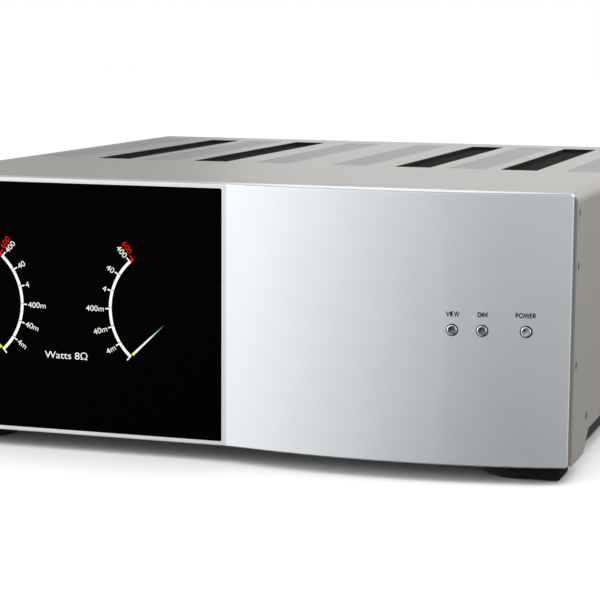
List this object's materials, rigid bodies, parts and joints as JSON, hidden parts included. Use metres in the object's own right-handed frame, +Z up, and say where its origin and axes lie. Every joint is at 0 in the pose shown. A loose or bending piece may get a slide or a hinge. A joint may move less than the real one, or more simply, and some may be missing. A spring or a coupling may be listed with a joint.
{
  "type": "power amplifier",
  "caption": "Full-width stereo power amplifier: display glass flush in a silver front panel with a curved wing, a vented wrap cover, feet and rear terminals.",
  "frame": {"origin": "on the surface that the feet stand on, under the middle of the amplifier's outer box", "axes": "+X to the right seen from the front, +Y to the rear, +Z up"},
  "size_m": [0.432, 0.47, 0.172],
  "materials": {
    "anodised_front": "fine bead-blasted, clear anodised",
    "anodised_button": "turned and clear anodised",
    "display_glass": "polished black glass with lit graphics behind it",
    "display_module": "pressed metal and plastic display panel",
    "cover_paint": "satin warm grey powder coat",
    "black_steel": "satin black coated sheet steel",
    "plated_steel": "zinc-plated sheet steel",
    "grille": "matt black coated aluminium",
    "screw": "nickel-plated steel",
    "black_screw": "black oxide steel",
    "foot_plastic": "moulded black plastic, fine texture",
    "rubber": "matt black rubber",
    "board": "green solder mask",
    "component_black": "moulded component body",
    "winding": "varnished tape over copper and steel core",
    "capacitor": "shrink-sleeved aluminium can",
    "heat_sink": "black anodised extrusion",
    "socket_black": "moulded black plastic",
    "gold": "gold-plated brass",
    "insert_white": "moulded white insulator",
    "terminal_red": "moulded red plastic",
    "terminal_black": "moulded black plastic",
    "pin_metal": "nickel-plated brass",
    "fuse": "glass tube with plated caps"
  },
  "bodies": {
    "chassis": {"front_panel": "anodised_front", "display_glass": "display_glass", "display_module": "display_module", "display_board": "board", "front_frame": "black_steel", "button_board": "board", "tact_switches": "component_black", "top_cover": "cover_paint", "cover_screws": "screw", "grille_screws": "screw", "vent_grilles": "grille", "base_pan": "black_steel", "chassis_screws": "black_screw", "front_left_foot": "foot_plastic", "front_right_foot": "foot_plastic", "rear_left_foot": "foot_plastic", "rear_right_foot": "foot_plastic", "foot_pads": "rubber", "foot_screws": "black_screw", "rear_panel": "black_steel", "side_rails": "plated_steel", "left_transformer": "winding", "right_transformer": "winding", "transformer_pads": "rubber", "transformer_clamps": "plated_steel", "transformer_bolts": "plated_steel", "power_supply_board": "board", "filter_capacitors": "capacitor", "rectifiers": "component_black", "mains_board": "board", "left_heat_sink": "heat_sink", "right_heat_sink": "heat_sink", "left_driver_board": "board", "right_driver_board": "board", "output_transistors": "component_black", "input_board": "board", "board_standoffs": "plated_steel", "xlr_sockets": "socket_black", "rca_shells": "gold", "rca_inserts": "insert_white", "trigger_jacks": "socket_black", "post_bases": "socket_black", "post_cores": "gold", "mains_inlet": "socket_black", "inlet_pins": "pin_metal", "rocker_housing": "socket_black"},
    "view_button": {"view_button": "anodised_button"},
    "dim_button": {"dim_button": "anodised_button"},
    "power_button": {"power_button": "anodised_button"},
    "mains_rocker": {"mains_rocker": "socket_black"},
    "fuse_drawer": {"fuse_drawer": "socket_black", "mains_fuse": "fuse"},
    "left_plus_collar": {"left_plus_collar": "gold"},
    "left_plus_knob": {"left_plus_knob": "terminal_red"},
    "left_minus_collar": {"left_minus_collar": "gold"},
    "left_minus_knob": {"left_minus_knob": "terminal_black"},
    "right_minus_collar": {"right_minus_collar": "gold"},
    "right_minus_knob": {"right_minus_knob": "terminal_black"},
    "right_plus_collar": {"right_plus_collar": "gold"},
    "right_plus_knob": {"right_plus_knob": "terminal_red"}
  },
  "joints": [
    {"name": "view_press", "type": "slide", "parent": "chassis", "child": "view_button", "axis": [0, 1, 0], "range_m": [0, 0.001], "stiffness_N_per_m": 1000, "springref_m": -0.0005},
    {"name": "dim_press", "type": "slide", "parent": "chassis", "child": "dim_button", "axis": [0, 1, 0], "range_m": [0, 0.001], "stiffness_N_per_m": 1000, "springref_m": -0.0005},
    {"name": "power_press", "type": "slide", "parent": "chassis", "child": "power_button", "axis": [0, 1, 0], "range_m": [0, 0.001], "stiffness_N_per_m": 1000, "springref_m": -0.0005},
    {"name": "rocker_tilt", "type": "hinge", "parent": "chassis", "child": "mains_rocker", "pos_m": [0.026, 0.213, 0.05], "axis": [-1, 0, 0], "range_deg": [0, 20]},
    {"name": "drawer_slide", "type": "slide", "parent": "chassis", "child": "fuse_drawer", "axis": [0, 1, 0], "range_m": [0, 0.02]},
    {"name": "left_plus_lift", "type": "slide", "parent": "chassis", "child": "left_plus_collar", "axis": [0, 1, 0], "range_m": [0, 0.005]},
    {"name": "left_plus_turn", "type": "hinge", "parent": "left_plus_collar", "child": "left_plus_knob", "pos_m": [-0.158, 0.2275, 0.062], "axis": [0, 1, 0], "range_deg": [0, 1800]},
    {"name": "left_minus_lift", "type": "slide", "parent": "chassis", "child": "left_minus_collar", "axis": [0, 1, 0], "range_m": [0, 0.005]},
    {"name": "left_minus_turn", "type": "hinge", "parent": "left_minus_collar", "child": "left_minus_knob", "pos_m": [-0.118, 0.2275, 0.062], "axis": [0, 1, 0], "range_deg": [0, 1800]},
    {"name": "right_minus_lift", "type": "slide", "parent": "chassis", "child": "right_minus_collar", "axis": [0, 1, 0], "range_m": [0, 0.005]},
    {"name": "right_minus_turn", "type": "hinge", "parent": "right_minus_collar", "child": "right_minus_knob", "pos_m": [0.118, 0.2275, 0.062], "axis": [0, 1, 0], "range_deg": [0, 1800]},
    {"name": "right_plus_lift", "type": "slide", "parent": "chassis", "child": "right_plus_collar", "axis": [0, 1, 0], "range_m": [0, 0.005]},
    {"name": "right_plus_turn", "type": "hinge", "parent": "right_plus_collar", "child": "right_plus_knob", "pos_m": [0.158, 0.2275, 0.062], "axis": [0, 1, 0], "range_deg": [0, 1800]}
  ],
  "couplings": [
    {"joint": "left_plus_turn", "follows": "left_plus_lift", "rad_per_m": 6283.2},
    {"joint": "left_minus_turn", "follows": "left_minus_lift", "rad_per_m": 6283.2},
    {"joint": "right_minus_turn", "follows": "right_minus_lift", "rad_per_m": 6283.2},
    {"joint": "right_plus_turn", "follows": "right_plus_lift", "rad_per_m": 6283.2}
  ]
}
